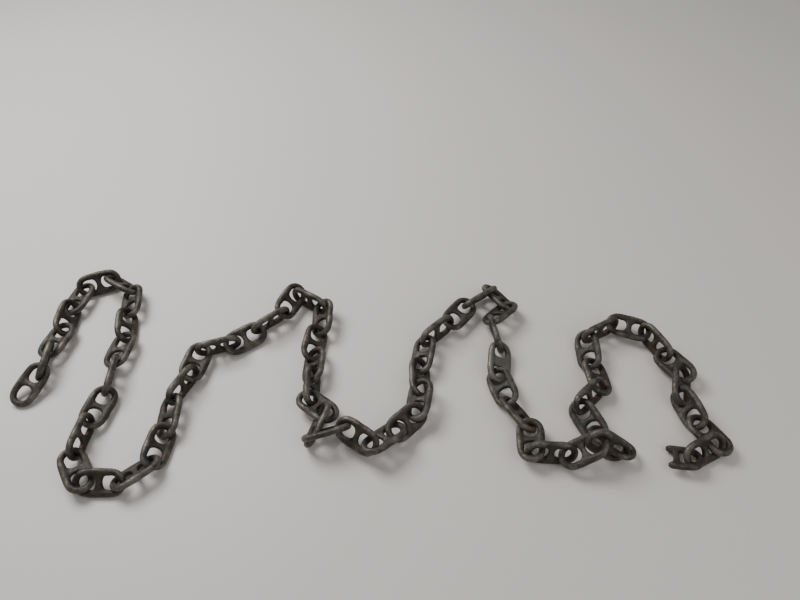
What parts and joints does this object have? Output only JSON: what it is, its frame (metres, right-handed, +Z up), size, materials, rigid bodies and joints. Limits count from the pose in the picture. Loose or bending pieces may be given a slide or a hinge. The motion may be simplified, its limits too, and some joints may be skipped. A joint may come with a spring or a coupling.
{
  "type": "length of stud-link chain",
  "caption": "Rusty stud-link steel chain laid back and forth in a zigzag on the floor, one end link whole and the other cut off short.",
  "frame": {"origin": "middle of the chain's footprint at floor level", "axes": "+Z up from the floor, +X along the zigzag from the whole end link towards the cut link"},
  "size_m": [1.5354, 0.5874, 0.0863],
  "materials": {
    "rusty_steel": "worn brown rust with grey rubbed edges",
    "worn_grey_steel": "rust rubbed to dull grey"
  },
  "bodies": {
    "root": {"link_01": "rusty_steel", "link_02": "rusty_steel", "link_03": "rusty_steel", "link_04": "rusty_steel", "link_05": "rusty_steel", "link_06": "rusty_steel", "link_07": "rusty_steel", "link_08": "rusty_steel", "link_09": "rusty_steel", "link_10": "rusty_steel", "links_11_12": "rusty_steel", "link_13": "rusty_steel", "link_14": "rusty_steel", "link_15": "rusty_steel", "link_16": "rusty_steel", "link_17": "rusty_steel", "links_18_19": "rusty_steel", "link_20": "rusty_steel", "link_21": "rusty_steel", "link_22": "rusty_steel", "link_23": "rusty_steel", "link_24": "rusty_steel", "link_25": "rusty_steel", "link_26": "rusty_steel", "links_27_28": "rusty_steel", "link_29": "rusty_steel", "link_30": "rusty_steel", "link_31": "rusty_steel", "link_32": "rusty_steel", "link_33": "rusty_steel", "link_34": "rusty_steel", "link_35": "rusty_steel", "links_36_37": "rusty_steel", "link_38": "rusty_steel", "link_39": "rusty_steel", "link_40": "rusty_steel", "link_41": "rusty_steel", "link_42": "rusty_steel", "link_43": "rusty_steel", "link_44": "rusty_steel", "link_45": "worn_grey_steel", "links_46_47": "rusty_steel", "link_48": "rusty_steel", "link_49": "rusty_steel", "link_50": "rusty_steel", "link_51": "rusty_steel", "link_52": "rusty_steel", "link_53": "rusty_steel", "link_54": "rusty_steel", "link_55": "rusty_steel", "link_56": "rusty_steel", "link_57": "rusty_steel", "link_58": "rusty_steel", "link_59": "rusty_steel", "link_60": "rusty_steel", "link_61": "rusty_steel", "link_62": "rusty_steel", "link_63": "rusty_steel", "link_64": "rusty_steel", "cut_link": "rusty_steel"}
  },
  "joints": []
}
